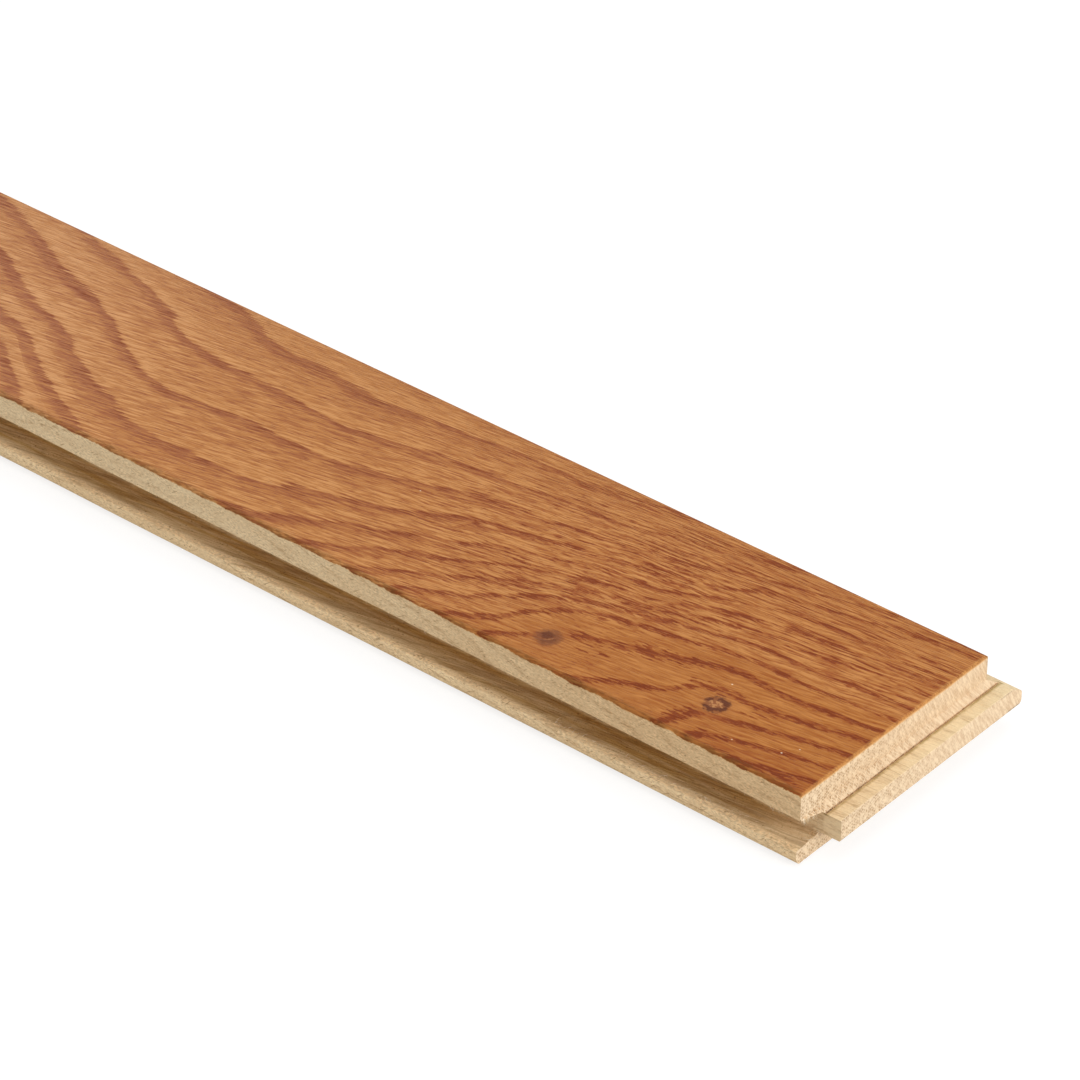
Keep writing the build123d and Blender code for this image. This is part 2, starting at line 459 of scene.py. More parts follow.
def knot_group():
    """One small knot: its brown heart, the dark core and rim in it, and its pale torn flesh."""
    nodes, taken, given = new_group(
        "Knot", "ShaderNodeTree",
        {"Place": "vector", "Centre": "vector", "Core": "vector", "Radius": "value",
         "Broken": "value"},
        {"Halo": "value", "Heart": "value", "Core": "value", "Rim": "value", "Flesh": "value"})
    place, broken = taken["Place"], taken["Broken"]
    sound = nodes.maths("SUBTRACT", 1.0, broken)
    ragged = nodes.noise(place, (2.0, 1.7, 2.0), 2.0, 0.6)
    wobble = nodes.weigh(ragged, 0.9, -0.45)

    def reach(centre):
        flat = nodes.vector_maths("SUBTRACT", place, centre)
        away = nodes.vector_maths("MULTIPLY", flat, (1.0, 1.0, 0.0))
        share = nodes.maths("DIVIDE", nodes.vector_maths("LENGTH", away), taken["Radius"])
        return nodes.maths("ADD", share, wobble), away

    def belt(share, inside, full, fading, outside):
        return nodes.product(nodes.ramp(share, inside, full), nodes.ramp(share, outside, fading))

    out, away = reach(taken["Centre"])
    core, _ = reach(nodes.vector_maths("ADD", taken["Centre"], taken["Core"]))
    x, y, _ = nodes.split(away)
    lower_right = nodes.ramp(nodes.maths("SUBTRACT", x, y), 0.0, 1.4)
    dark_core = nodes.ramp(core, 0.7, 0.3)
    dark_spot = nodes.product(belt(core, 0.64, 0.72, 0.84, 1.0), lower_right)
    dark_core = nodes.weigh(dark_spot, 0.6, dark_core)
    hook = nodes.product(belt(core, 0.46, 0.54, 0.58, 0.68), lower_right)
    spots = nodes.ramp(nodes.noise(place, (1.7, 1.4, 2.0), 1.0), 0.38, 0.52, 0.15, 1.0)
    torn = nodes.ramp(nodes.noise(place, (0.9, 0.7, 2.0), 1.0), 0.44, 0.56)
    bark = nodes.product(belt(out, 0.36, 0.62, 0.95, 1.25), spots)
    open_flesh = nodes.product(nodes.ramp(out, 0.66, 0.4), torn)
    nodes.feed(given["Halo"], nodes.ramp(out, 2.2, 1.0))
    nodes.feed(given["Heart"], nodes.ramp(out, 1.25, 0.75))
    nodes.feed(given["Core"], nodes.product(dark_core, sound))
    nodes.feed(given["Rim"], nodes.product(bark, nodes.mix_values(broken, 0.28, 1.0)))
    sound_flesh = nodes.product(hook, 0.6)
    nodes.feed(given["Flesh"], nodes.mix_values(broken, sound_flesh, open_flesh))
    return nodes.tree


def stain_edge_group():
    """Where the stain ends on the edges: a line that wanders just over the arris."""
    nodes, taken, given = new_group(
        "Stain edge", "ShaderNodeTree", {"Place": "vector"},
        {"Stain": "value", "Gathered": "value", "Worn": "value"})
    place = taken["Place"]
    x, y, depth = nodes.split(place)
    on_end = nodes.ramp(x, -0.6, -0.2)
    level = nodes.mix_values(on_end, 0.75, 0.4)
    swing = nodes.mix_values(on_end, 1.7, 0.5)
    slow = nodes.maths("SUBTRACT", nodes.noise(place, (7.0, 7.0, 9.0), 2.0, 0.55), 0.5)
    quick = nodes.maths("SUBTRACT", nodes.noise(place, (0.8, 0.8, 0.8), 2.0, 0.6), 0.5)
    ragged = nodes.weigh(quick, 0.34, slow)
    inside = nodes.maths("SUBTRACT", nodes.weigh(ragged, swing, level), depth)
    soft = nodes.mix_values(on_end, -0.15, -1.0)
    nodes.feed(given["Stain"], nodes.ramp(inside, soft, 0.2))
    patches = nodes.ramp(nodes.noise(place, (9.0, 3.0, 4.0), 2.0, 0.6), 0.36, 0.56, 0.3, 1.0)
    grains = nodes.ramp(nodes.noise(place, (1.8, 0.5, 0.6), 1.0), 0.35, 0.6, 0.35, 1.0)
    along_groove = nodes.ramp(nodes.weigh(slow, -2.0, y), 2.0, 0.2)
    nodes.feed(given["Gathered"], nodes.product(
        patches, grains, along_groove, nodes.ramp(inside, -0.2, 0.2)))
    nodes.feed(given["Worn"], nodes.ramp(nodes.weigh(ragged, 1.2, x), -0.9, 0.0))
    return nodes.tree


def nearest_oval(nodes, place, ovals):
    """Share of the way from the middle of the nearest oval (X, Y, length, width) to its rim."""
    nearest = 9.0
    for x, y, length, width in ovals:
        away = nodes.vector_maths("SUBTRACT", place, (x, y, 0.0))
        share = nodes.vector_maths("DIVIDE", away, (length / 2, width / 2, 1000.0))
        nearest = nodes.maths("MINIMUM", nodes.vector_maths("LENGTH", share), nearest)
    return nearest


def stained_oak_group(groups):
    """Colour of the stained face, with its knots, and the height of its grain."""
    colours = ("Light", "Middle", "Band", "Dash", "Deep", "Heart", "Rim", "Fleck")
    nodes, taken, given = new_group(
        "Stained oak", "ShaderNodeTree",
        {"Place": "vector", "Ring": "value", "Gap": "value", **{name: "colour" for name in colours}},
        {"Color": "colour", "Height": "value"})
    place = taken["Place"]
    fibres, rings = oak_rings(nodes, groups, taken)
    knots = [
        nodes.group(groups["knot"], {
            "Place": place, "Centre": (x, y, 0.0), "Core": (*core, 0.0), "Radius": radius,
            "Broken": broken})
        for x, y, radius, core, broken in KNOTS]
    dash = rings["Dash"]
    for knot in knots:
        dash = nodes.product(dash, nodes.ramp(knot["Halo"], 0.7, 0.2))
    pore_lines = nearest_oval(nodes, place, PORE_LINES)
    pore_marks = nodes.ramp(nodes.weigh(fibres["Dashes"], -1.2, pore_lines), 0.45, -0.2)
    dash = nodes.highest(dash, pore_marks)
    shade = nodes.highest(rings["Shade"], nodes.product(pore_marks, 0.55))
    cloud = nodes.noise(place, (45.0, 11.0, 11.0), 1.0)
    streaks = 0.66
    for mark, weight in (("Fine", -0.7), ("Streak", -0.68), ("Pores", 0.35)):
        streaks = nodes.weigh(fibres[mark], weight, streaks)
    x = nodes.split(place)[0]
    streaks = nodes.product(
        streaks, nodes.ramp(rings["Calm"], 0.0, 1.0, 1.0, 0.6), nodes.ramp(x, -210.0, -110.0, 0.8, 1.0))
    pool = nodes.vector_maths("DIVIDE", nodes.vector_maths("SUBTRACT", place, POOL_PLACE), POOL_SIZE)
    pool = nodes.ramp(nodes.vector_maths("LENGTH", pool), 1.1, 0.4)
    tone = nodes.maths("ADD", streaks, nodes.ramp(x, -200.0, -90.0, -0.03, 0.04))
    for shading, weight in ((cloud, 0.5), (shade, 0.62), (pool, 0.3), (dash, 0.6)):
        tone = nodes.weigh(shading, weight, tone)
    colour = taken["Light"]
    for start, end, stain in ((-0.2, 0.55, "Middle"), (0.4, 0.95, "Band"), (0.85, 1.35, "Dash")):
        colour = nodes.mix_colours(nodes.ramp(tone, start, end), colour, taken[stain])
    soaked = nodes.ramp(x, -300.0, 0.0, 0.0, 0.75)
    soaked = nodes.weigh(rings["Calm"], 0.25, soaked)
    colour = nodes.tint(soaked, colour, taken["Deep"])
    # Painted sheen: the far part of the face is made lighter and bluer, as light glancing off the lacquer
    # there
    colour = nodes.tint(nodes.ramp(x, -190.0, -290.0), colour, FAR_SHEEN)
    reddened = nodes.product(nodes.ramp(tone, 0.3, 1.0), nodes.ramp(x, -200.0, -60.0))
    colour = nodes.tint(reddened, colour, RED_STAIN)
    layers = (("Halo", 0.12, "Band"), ("Heart", 0.75, "Heart"), ("Core", 0.75, "Rim"),
              ("Rim", 0.85, "Rim"), ("Flesh", 0.5, "Light"))
    for knot in knots:
        for layer, weight, tint in layers:
            share = nodes.product(knot[layer], weight)
            colour = nodes.mix_colours(share, colour, taken[tint])
    flecks = nodes.ramp(nearest_oval(nodes, place, FLECKS), 1.2, 0.6, 0.0, 0.8)
    colour = nodes.mix_colours(flecks, colour, taken["Fleck"])
    sunk = nodes.weigh(dash, -0.6, fibres["Fine"])
    nodes.feed(given["Color"], colour)
    nodes.feed(given["Height"], nodes.weigh(fibres["Pores"], -0.8, sunk))
    return nodes.tree


RAW_INPUTS = {
    "Place": "vector", "Ring": "value", "Gap": "value", "Pale": "colour", "Tan": "colour",
    "Pore": "colour",
}


def raw_oak_group(groups):
    """Colour of raw planed oak, with painted shade inside the groove, and the height of its grain."""
    nodes, taken, given = new_group(
        "Raw oak", "ShaderNodeTree", RAW_INPUTS, {"Color": "colour", "Height": "value"})
    place = taken["Place"]
    x, y, depth = nodes.split(place)
    fibres, rings = oak_rings(nodes, groups, taken)
    outer = nodes.ramp(y, 1.4, 0.2)
    # Inside of the groove, which takes the burnt lines and the painted shade
    in_groove = nodes.product(
        nodes.ramp(y, -0.4, 3.0), nodes.ramp(y, 10.0, 8.0), nodes.ramp(depth, 7.0, 7.6),
        nodes.ramp(x, 0.5, -22.0))
    along_end = nodes.ramp(x, 0.6, 1.6)

    cloud = nodes.ramp(nodes.noise(place, (18.0, 5.0, 5.0), 2.0, 0.6), 0.3, 0.7)
    speckle = nodes.noise(place, (0.7, 0.5, 0.45), 2.0, 0.7)
    upright = nodes.highest(outer, nodes.ramp(y, 68.4, 69.6))
    streaky = nodes.product(fibres["Streak"], nodes.ramp(upright, 0.0, 1.0, 0.5, 0.15))
    shade = nodes.weigh(cloud, 0.35, streaky)
    shade = nodes.maths("ADD", shade, nodes.ramp(speckle, 0.3, 0.7, -0.25, 0.3))
    shade = nodes.product(shade, nodes.ramp(along_end, 0.0, 1.0, 1.0, 0.6))
    colour = nodes.mix_colours(shade, taken["Pale"], taken["Tan"])

    comb = nodes.ramp(nodes.noise(place, (24.0, 0.55, 2.0), 2.0, 0.6), 0.58, 0.7)
    comb = nodes.product(comb, nodes.ramp(y, 66.0, 20.0, 0.1, 0.6))
    grain_lines = nodes.product(fibres["Lines"], nodes.ramp(upright, 0.0, 1.0, 0.45, 0.1))
    grain_lines = nodes.mix_values(along_end, grain_lines, comb)
    combed = nodes.product(rings["Line"], fibres["Dashes"])
    combed = nodes.highest(nodes.product(combed, 0.55), grain_lines)
    colour = nodes.mix_colours(combed, colour, taken["Pore"])
    # Painted shade: a blotchy dark line along the crease at the foot of the tongue's root, mixed towards
    # the pore colour
    root_shade_blots = nodes.ramp(nodes.noise(place, (1.5, 2.5, 1.0), 2.0, 0.6), 0.3, 0.6, 0.3, 0.8)
    at_root = nodes.product(
        nodes.ramp(x, 3.0, 2.0), nodes.ramp(x, 0.7, 1.3), nodes.ramp(depth, 9.4, 9.0), root_shade_blots)
    colour = nodes.mix_colours(at_root, colour, taken["Pore"])
    colour = nodes.tint(at_root, colour, ROOT_CREASE_SHADE)
    tongue_top = nodes.product(along_end, nodes.ramp(y, 20.0, 55.0))
    colour = nodes.tint(tongue_top, colour, CLEAN_TONGUE)
    colour = nodes.mix_colours(nodes.product(fibres["Pores"], 0.22), colour, taken["Pore"])

    rising = nodes.weigh(depth, -0.7, x)
    falling = nodes.weigh(x, 0.7, depth)
    nicks = nodes.ramp(nodes.noise(nodes.join(rising, falling, y), (4.5, 0.4, 3.0), 1.0), 0.67, 0.76)
    nicks = nodes.product(nicks, outer)
    pits = nodes.ramp(nodes.noise(place, (0.9, 0.6, 0.5), 1.0), 0.67, 0.76)
    pits = nodes.product(pits, nodes.ramp(x, 0.6, 0.0))
    marks = nodes.highest(pits, nicks)
    colour = nodes.mix_colours(nodes.product(marks, 0.7), colour, taken["Pore"])
    rubbed = nodes.noise(place, (4.0, 2.0, 2.0), 1.0)
    grit = nodes.ramp(nodes.noise(place, (0.9, 0.5, 0.4), 1.0), 0.3, 0.7, 0.86, 1.2)
    gritty = nodes.product(outer, nodes.ramp(rubbed, 0.35, 0.65, 0.4, 1.0))
    colour = nodes.tint(gritty, colour, nodes.join(grit, grit, grit))

    # Painted shade: the groove's inside is darkened and warmed in long blotches, where the upper lip
    # shades it
    groove_shade_blots = nodes.ramp(nodes.noise(place, (38.0, 1.8, 1.8), 2.0, 0.65), 0.4, 0.68, 0.35, 1.0)
    burnt = nodes.ramp(nodes.noise(place, (13.0, 0.5, 0.5), 2.0, 0.6), 0.5, 0.68, 0.0, 0.5)
    colour = nodes.tint(nodes.product(in_groove, burnt), colour, BURNT_LINES)
    colour = nodes.tint(nodes.product(in_groove, groove_shade_blots), colour, GROOVE_SHADE)
    above_groove = nodes.product(
        outer, nodes.ramp(depth, 9.0, 7.5), nodes.ramp(x, -190.0, -20.0), nodes.ramp(x, 0.5, 0.0))
    colour = nodes.tint(above_groove, colour, OVER_GROOVE)
    lower_lip = nodes.product(outer, nodes.ramp(depth, 14.5, 15.4))
    colour = nodes.tint(lower_lip, colour, CLEAN_LIP)
    sunk = nodes.weigh(marks, -1.0, fibres["Fine"])
    sunk = nodes.weigh(speckle, 1.4, sunk)
    nodes.feed(given["Color"], colour)
    nodes.feed(given["Height"], nodes.weigh(combed, -0.5, sunk))
    return nodes.tree


def end_grain_group():
    """Colour of oak sawn across the grain: pores in rows along the rings, crossed by rays."""
    nodes, taken, given = new_group(
        "End grain", "ShaderNodeTree", RAW_INPUTS, {"Color": "colour", "Height": "value"})
    place = taken["Place"]
    _, y, depth = nodes.split(place)
    steep = 1 / math.hypot(1, RING_DIP)
    along_ray = nodes.product(nodes.weigh(depth, RING_DIP, y), steep)
    doubled = nodes.product(y, RING_DIP)
    across_ray = nodes.product(nodes.maths("SUBTRACT", doubled, depth), steep)
    ray_place = nodes.join(across_ray, along_ray, 0.0)
    rays = nodes.ramp(nodes.noise(ray_place, (0.7, 4.5, 1.0), 2.0, 0.6), 0.32, 0.7)
    bend = nodes.weigh(nodes.noise(place, (2.5, 2.5, 2.5), 2.0, 0.6), 0.8, across_ray)
    lift = nodes.weigh(nodes.noise(place, (3.5, 3.5, 3.5), 1.0), 0.7, along_ray)
    rows = nodes.add("ShaderNodeTexBrick", {
        "Vector": nodes.join(bend, lift, 0.0), "Scale": 1.0, "Mortar Size": 0.27,
        "Mortar Smooth": 1.0, "Brick Width": 0.72, "Row Height": 0.92}).outputs["Fac"]
    uneven = nodes.ramp(nodes.noise(ray_place, (1.2, 1.6, 1.0), 2.0, 0.6), 0.36, 0.62)
    pores = nodes.product(nodes.ramp(rows, 1.0, 0.3), uneven, nodes.ramp(y, 60.0, 8.0, 0.3, 1.0))
    streaks = nodes.product(rays, nodes.ramp(y, 10.0, 50.0, 0.4, 0.85))
    colour = nodes.mix_colours(streaks, taken["Pale"], taken["Tan"])
    colour = nodes.mix_colours(nodes.product(pores, 0.76), colour, taken["Pore"])
    saw = nodes.noise(place, (1.0, 0.5, 4.0), 2.0, 0.6)
    nodes.feed(given["Color"], colour)
    nodes.feed(given["Height"], nodes.weigh(pores, -1.0, saw))
    return nodes.tree


def shader_groups():
    """The node groups that the materials share."""
    groups = {
        "fibres": oak_fibres_group(),
        "rings": growth_rings_group(),
        "knot": knot_group(),
        "edge": stain_edge_group(),
    }
    groups["stained"] = stained_oak_group(groups)
    groups["raw"] = raw_oak_group(groups)
    groups["end"] = end_grain_group()
    return groups


def empty_shader(owner):
    """Node adder for a material or world whose own nodes are cleared."""
    owner.use_nodes = True
    owner.node_tree.nodes.clear()
    return Nodes(owner.node_tree)


def oak_material(name, groups, finish, wood, grain_height, lacquer):
    """Oak with the stain over the given raw wood where the stain reaches, else raw."""
    material = bpy.data.materials.new(name)
    nodes = empty_shader(material)
    coordinates = nodes.add("ShaderNodeTexCoord").outputs["Object"]
    place = nodes.vector_maths("MULTIPLY_ADD", coordinates, TO_DRAWING_SCALE, TO_DRAWING_SHIFT)
    ring = nodes.add("ShaderNodeAttribute", attribute_name="ring").outputs["Fac"]
    gap = nodes.add("ShaderNodeAttribute", attribute_name="ring_gap").outputs["Fac"]
    pale, tan, pore = (getattr(finish, wood + shade) for shade in ("_pale", "_tan", "_pore"))
    raw = nodes.group(groups[wood], {
        "Place": place, "Ring": ring, "Gap": gap, "Pale": (*pale, 1), "Tan": (*tan, 1),
        "Pore": (*pore, 1)})
    stains = {
        "Light": finish.stain_light, "Middle": finish.stain_middle, "Band": finish.stain_band,
        "Dash": finish.stain_dash, "Deep": finish.stain_deep, "Heart": finish.knot_heart,
        "Rim": finish.knot_rim, "Fleck": finish.fibre_pale}
    stained = nodes.group(groups["stained"], {
        "Place": place, "Ring": ring, "Gap": gap,
        **{name: (*tint, 1) for name, tint in stains.items()}})
    edge = nodes.group(groups["edge"], {"Place": place})
    colour = nodes.mix_colours(
        nodes.ramp(edge["Stain"], 0.0, 0.6, 0.0, 0.8), raw["Color"], (*finish.stain_fringe, 1))
    worn = nodes.mix_colours(
        nodes.product(edge["Worn"], 0.4), stained["Color"], (*finish.stain_fringe, 1))
    colour = nodes.mix_colours(nodes.ramp(edge["Stain"], 0.45, 1.0), colour, worn)
    colour = nodes.mix_colours(
        nodes.product(edge["Gathered"], 0.65), colour, (*finish.stain_gathered, 1))
    height = nodes.mix_values(edge["Stain"], raw["Height"], stained["Height"])
    rough_raw = nodes.weigh(raw["Height"], 0.1, 0.62)
    rough_lacquer = nodes.weigh(stained["Height"], -0.06, 0.44)
    shader = nodes.add("ShaderNodeBsdfPrincipled", {
        "Base Color": colour,
        "Roughness": nodes.mix_values(edge["Stain"], rough_raw, rough_lacquer),
        "Specular IOR Level": 0.08,
        "Coat Roughness": 0.3,
        "Normal": nodes.add("ShaderNodeBump", {
            "Height": height, "Strength": 1.0, "Distance": grain_height}).outputs[0],
    })
    if lacquer:
        nodes.feed(shader.inputs["Coat Weight"], nodes.product(edge["Stain"], 0.02))
    nodes.add("ShaderNodeOutputMaterial", {"Surface": shader.outputs[0]})
    return material


def cut_across(mesh, faces, axis, places):
    """Cuts faces with planes square to one axis, from the lowest place up."""
    normal = Vector((0, 0, 0))
    normal[axis] = 1
    left = list(faces)
    for place in places:
        edges = dict.fromkeys(edge for face in left for edge in face.edges)
        corners = dict.fromkeys(corner for face in left for corner in face.verts)
        cut = bmesh.ops.bisect_plane(
            mesh, geom=[*corners, *edges, *left], dist=1e-7, plane_co=normal * place, plane_no=normal)
        made = [item for item in cut["geom"] if isinstance(item, bmesh.types.BMFace)]
        left = [face for face in made if face.calc_center_median()[axis] > place]


def even_places(start, end, step):
    """Places between start and end, about a step apart."""
    count = round((end - start) / step)
    return [start + (end - start) * index / count for index in range(1, count)]


def cell_mesh(grain):
    """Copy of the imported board, cut into small cells that can carry relief."""
    mesh = bmesh.new()
    mesh.from_mesh(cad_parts[NODE].data)
    bmesh.ops.remove_doubles(mesh, verts=mesh.verts, dist=1e-7)
    bmesh.ops.dissolve_limit(mesh, angle_limit=math.radians(0.1), verts=mesh.verts, edges=mesh.edges)
    mesh.normal_update()
    square = 0.9
    back = 2 * MM
    level = [face for face in mesh.faces
             if abs(face.normal.z) > square and face.calc_center_median().z > back]
    ends = [face for face in mesh.faces if abs(face.normal.x) > square]
    cut_across(mesh, level + ends, 1, even_places(low_corner.y, high_corner.y, grain.cell_width))
    upright = [face for face in mesh.faces if abs(face.normal.z) < 1 - square]
    cut_across(mesh, upright, 2, even_places(low_corner.z, high_corner.z, grain.cell_height))
    far_zone, near_zone = low_corner.x + END_ZONE, high_corner.x - END_ZONE
    short = [*even_places(low_corner.x, far_zone, grain.end_cell_length), far_zone,
             near_zone, *even_places(near_zone, high_corner.x, grain.end_cell_length)]
    cut_across(mesh, mesh.faces, 0, short)
    middle = near_zone - far_zone
    runs = [edge for edge in mesh.edges if edge.calc_length() > 0.99 * middle]
    bmesh.ops.subdivide_edges(mesh, edges=runs, cuts=round(middle / grain.cell_length) - 1)
    bmesh.ops.remove_doubles(mesh, verts=mesh.verts, dist=1e-7)
    for face in mesh.faces:
        face.smooth = True
    crease = math.radians(20)
    for edge in mesh.edges:
        edge.smooth = edge.calc_face_angle(0.0) < crease
    data = bpy.data.meshes.new("board_cells")
    mesh.to_mesh(data)
    mesh.free()
    return data


def ring_field(places):
    """Ring number at places (X, Y): the smoothest sheet that passes through the growth rings."""
    knots = np.array([point for points in GROWTH_RINGS.values() for point in points], float)
    numbers = np.array([ring for ring, points in GROWTH_RINGS.items() for _ in points], float)

    def bend(apart):
        square = (apart ** 2).sum(-1)
        return square * np.log(square + 1e-9)

    plane = np.column_stack([np.ones(len(knots)), knots])
    stiffness = bend(knots[:, None] - knots[None])
    slack = 20.0
    stiffness[np.diag_indices(len(knots))] += slack
    system = np.block([[stiffness, plane], [plane.T, np.zeros((3, 3))]])
    answer = np.linalg.solve(system, np.append(numbers, np.zeros(3)))
    flat = answer[-3] + places @ answer[-2:]
    return flat + sum(weight * bend(places - knot) for weight, knot in zip(answer, knots))


def mark_rings(data):
    """Writes each vertex's ring number, and how far apart the rings lie there."""
    corners = np.empty(len(data.vertices) * 3)
    data.vertices.foreach_get("co", corners)
    places = corners.reshape(-1, 3) * TO_DRAWING_SCALE + TO_DRAWING_SHIFT
    dipped = places[:, :2] + np.outer(places[:, 2], (0.0, RING_DIP))
    rings = ring_field(dipped)
    step = 0.5
    slopes = [(ring_field(dipped + aside) - rings) / step for aside in ((step, 0.0), (0.0, step))]
    gaps = 1 / np.hypot(*slopes).clip(1 / WIDEST_RING)
    for name, values in (("ring", rings), ("ring_gap", gaps)):
        data.attributes.new(name, "FLOAT", "POINT").data.foreach_set("value", values)


def board_relief_tree():
    """Geometry nodes: sinks the open bands, lets the lip edges wander and tears the sawn ends."""
    nodes, taken, given = new_group(
        "Board relief", "GeometryNodeTree",
        {"Board": "geometry", "Ring Relief": "value", "Lip Wave": "value", "Lip Edge": "value",
         "End Tear": "value", "Face": "material", "Edges": "material", "Ends": "material"},
        {"Board": "geometry"})
    position = nodes.add("GeometryNodeInputPosition").outputs[0]
    normal = nodes.add("GeometryNodeInputNormal").outputs[0]
    place = nodes.vector_maths("MULTIPLY_ADD", position, TO_DRAWING_SCALE, TO_DRAWING_SHIFT)
    x, y, depth = nodes.split(place)
    facing = nodes.split(normal)

    ring_node = nodes.add("GeometryNodeInputNamedAttribute", {"Name": "ring"}, data_type="FLOAT")
    part = nodes.maths("FRACT", nodes.maths("SUBTRACT", ring_node.outputs[0], 0.06))
    band = nodes.curve(part, [(0, 1), (0.08, 0.2), (0.2, 0), (0.6, 0.1), (0.85, 0.8), (1, 1)])
    on_face = nodes.ramp(facing[2], 0.7, 0.95)
    near_top = nodes.ramp(depth, 0.6, 0.1)
    sink = nodes.product(on_face, near_top, band, taken["Ring Relief"])

    along = nodes.maths("ABSOLUTE", facing[0])
    sawn = nodes.ramp(along, 0.6, 0.9)
    tear = nodes.noise(place, (2.0, 1.3, 1.1), 3.0, 0.6)
    end_sink = nodes.product(tear, sawn, taken["End Tear"])
    inwards = nodes.product(nodes.maths("ADD", sink, end_sink), -1.0)
    sunk = nodes.vector_maths("SCALE", normal)
    nodes.feed(sunk.node.inputs["Scale"], inwards)

    wave = nodes.noise(place, (26.0, 60.0, 60.0), 2.0, 0.5)
    mouth = nodes.ramp(y, GROOVE_DEPTH, 0.0)
    below = nodes.maths("SUBTRACT", depth, UPPER_LIP_BOTTOM)
    upper = nodes.product(mouth, nodes.ramp(below, -1.6, -0.4), nodes.ramp(below, 2.0, 1.0))
    to_lower_lip = nodes.ramp(depth, LOWER_LIP_TOP - 2.0, LOWER_LIP_TOP)
    lower = nodes.product(nodes.ramp(y, 2.0, -0.6), to_lower_lip)
    swing = nodes.weigh(wave, 2.0, -1.0)
    rise = nodes.product(swing, upper, taken["Lip Wave"])
    back = nodes.product(wave, lower, taken["Lip Wave"])
    eased = nodes.product(
        nodes.ramp(y, 0.75, 0.55), nodes.ramp(depth, 7.1, 7.28), nodes.ramp(depth, 8.0, 7.5))
    drawn_out = nodes.product(eased, taken["Lip Edge"])
    wander = nodes.join(0.0, nodes.maths("SUBTRACT", back, drawn_out), rise)

    moved = nodes.add("GeometryNodeSetPosition", {
        "Geometry": taken["Board"], "Offset": nodes.vector_maths("ADD", sunk, wander)})
    real = nodes.add("GeometryNodeRealizeInstances", {"Geometry": moved.outputs[0]})
    edges = nodes.add("GeometryNodeSetMaterial", {
        "Geometry": real.outputs[0], "Material": taken["Edges"]})
    stained = nodes.maths("LESS_THAN", depth, ARRIS_DEPTH)
    face = nodes.add("GeometryNodeSetMaterial", {
        "Geometry": edges.outputs[0], "Selection": stained, "Material": taken["Face"]})
    cut = nodes.maths("GREATER_THAN", along, 0.6)
    ends = nodes.add("GeometryNodeSetMaterial", {
        "Geometry": face.outputs[0], "Selection": cut, "Material": taken["Ends"]})
    nodes.feed(given["Board"], ends.outputs[0])
    return nodes.tree


def torn_fibres_tree():
    """Geometry nodes: bent slivers that stand along the edges where the cutters tore the wood."""
    nodes, taken, given = new_group(
        "Torn fibres", "GeometryNodeTree",
        {"Edges": "geometry", "Length": "value", "Width": "value", "Seed": "count",
         "Wood": "material"},
        {"Fibres": "geometry"})

    def random(least, most, stream, kind):
        node = nodes.add("FunctionNodeRandomValue", data_type=kind)
        first = 0 if kind == "FLOAT_VECTOR" else 2
        nodes.feed(node.inputs[first], least)
        nodes.feed(node.inputs[first + 1], most)
        nodes.feed(node.inputs["Seed"], nodes.maths("ADD", taken["Seed"], stream))
        return node.outputs[0 if kind == "FLOAT_VECTOR" else 1]

    sliver = nodes.add("GeometryNodeMeshCone", {
        "Vertices": 3, "Side Segments": 3, "Depth": taken["Length"], "Radius Top": 0.0,
        "Radius Bottom": nodes.product(taken["Width"], 0.5)}, fill_type="NGON").outputs["Mesh"]
    height = nodes.split(nodes.add("GeometryNodeInputPosition").outputs[0])[2]
    share = nodes.maths("DIVIDE", height, taken["Length"])
    bend = nodes.product(share, height, 0.35)
    sliver = nodes.add("GeometryNodeSetPosition", {
        "Geometry": sliver, "Offset": nodes.join(bend, 0.0, 0.0)}).outputs[0]

    joined = nodes.add("GeometryNodeJoinGeometry")
    for stream, (start, end, count, size, stray, least, most) in enumerate(FIBRE_RUNS):
        line = nodes.add("GeometryNodeMeshLine", {
            "Count": count, "Start Location": in_model(start), "Offset": in_model(end)},
            mode="END_POINTS").outputs[0]
        reach = [length * MM for length in stray]
        strayed = random([-length for length in reach], reach, 10 * stream, "FLOAT_VECTOR")
        points = nodes.add("GeometryNodeSetPosition", {"Geometry": line, "Offset": strayed}).outputs[0]
        limits = [[math.radians(angle) for angle in angles] for angles in (least, most)]
        turn = random(*limits, 10 * stream + 1, "FLOAT_VECTOR")
        stood = nodes.add("GeometryNodeInstanceOnPoints", {
            "Points": points, "Instance": sliver,
            "Rotation": nodes.add("FunctionNodeEulerToRotation", {"Euler": turn}).outputs[0],
            "Scale": random(0.3 * size, size, 10 * stream + 2, "FLOAT")}).outputs[0]
        nodes.feed(joined.inputs[0], stood)
    real = nodes.add("GeometryNodeRealizeInstances", {"Geometry": joined.outputs[0]}).outputs[0]
    nodes.feed(given["Fibres"], nodes.add("GeometryNodeSetMaterial", {
        "Geometry": real, "Material": taken["Wood"]}).outputs[0])
    return nodes.tree


def fibre_material(finish):
    """Pale torn wood, darker here and there."""
    material = bpy.data.materials.new("torn_wood")
    nodes = empty_shader(material)
    coordinates = nodes.add("ShaderNodeTexCoord").outputs["Object"]
    shade = nodes.ramp(nodes.noise(coordinates, (4 * MM, 1 * MM, 1 * MM), 1.0), 0.35, 0.65)
    colour = nodes.mix_colours(shade, (*finish.fibre_pale, 1), (*finish.raw_tan, 1))
    shader = nodes.add("ShaderNodeBsdfPrincipled", {
        "Base Color": colour, "Roughness": 0.75, "Specular IOR Level": 0.08})
    nodes.add("ShaderNodeOutputMaterial", {"Surface": shader.outputs[0]})
    return material


def in_model(place):
    """A drawing place (X, Y, D) as a place in the model's frame."""
    steps = zip(place, TO_DRAWING_SHIFT, TO_DRAWING_SCALE)
    return [(part - shift) / scale for part, shift, scale in steps]


